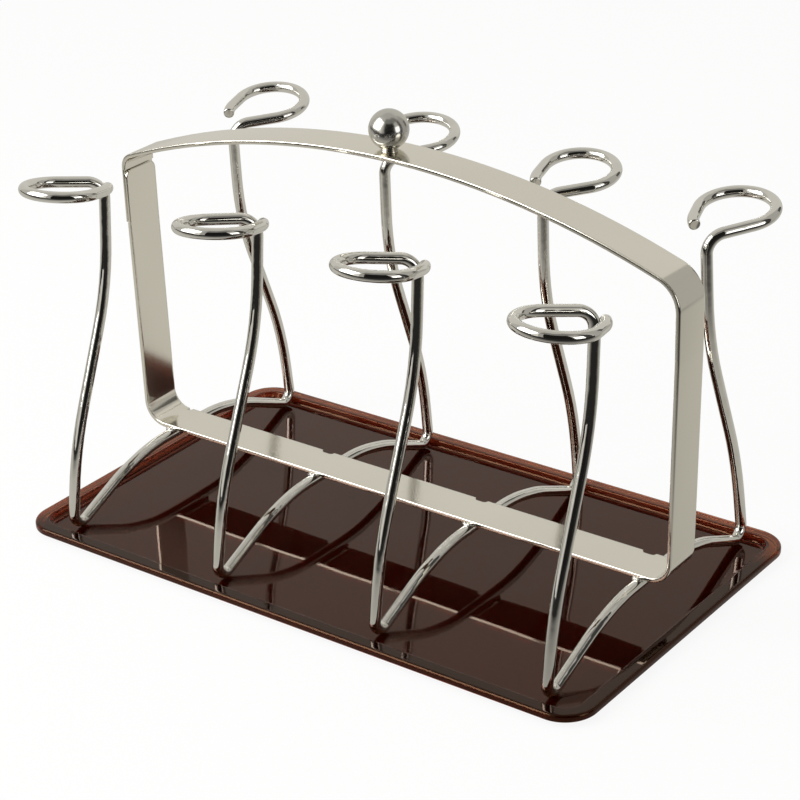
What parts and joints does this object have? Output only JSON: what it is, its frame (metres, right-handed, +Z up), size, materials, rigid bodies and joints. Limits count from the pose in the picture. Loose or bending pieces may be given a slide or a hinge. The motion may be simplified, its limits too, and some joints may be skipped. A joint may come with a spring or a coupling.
{
  "type": "mug tree",
  "caption": "Mug drying rack: bent-wire hooks on footed wires under a flat strip frame whose arch is the handle, with a ball knob, standing loose on a shallow drip tray.",
  "frame": {"origin": "middle of the drip tray's underside, on the surface it stands on", "axes": "+Z up, +X along the strip frame to its plain upright, +Y to the back"},
  "size_m": [0.3, 0.1809, 0.2028],
  "materials": {
    "tray_plastic": "smoky brown translucent plastic, mirror gloss",
    "wire_chrome": "bright plated round wire",
    "strip_steel": "flat rolled strip, satin with a faint sheen",
    "knob_chrome": "mirror polished",
    "screw_steel": "plain machine screw",
    "weld_steel": "dull bead, plated over"
  },
  "bodies": {
    "tray": {"drip_tray": "tray_plastic"},
    "rack": {"hook_wire_1": "wire_chrome", "hook_wire_2": "wire_chrome", "hook_wire_3": "wire_chrome", "hook_wire_4": "wire_chrome", "frame_strip": "strip_steel", "knob_ball": "knob_chrome", "knob_screw": "screw_steel", "wire_welds": "weld_steel", "lap_welds": "weld_steel"}
  },
  "joints": [
    {"name": "rack_lift", "type": "slide", "parent": "tray", "child": "rack", "axis": [0, 0, 1], "range_m": [0, 0.1]}
  ]
}
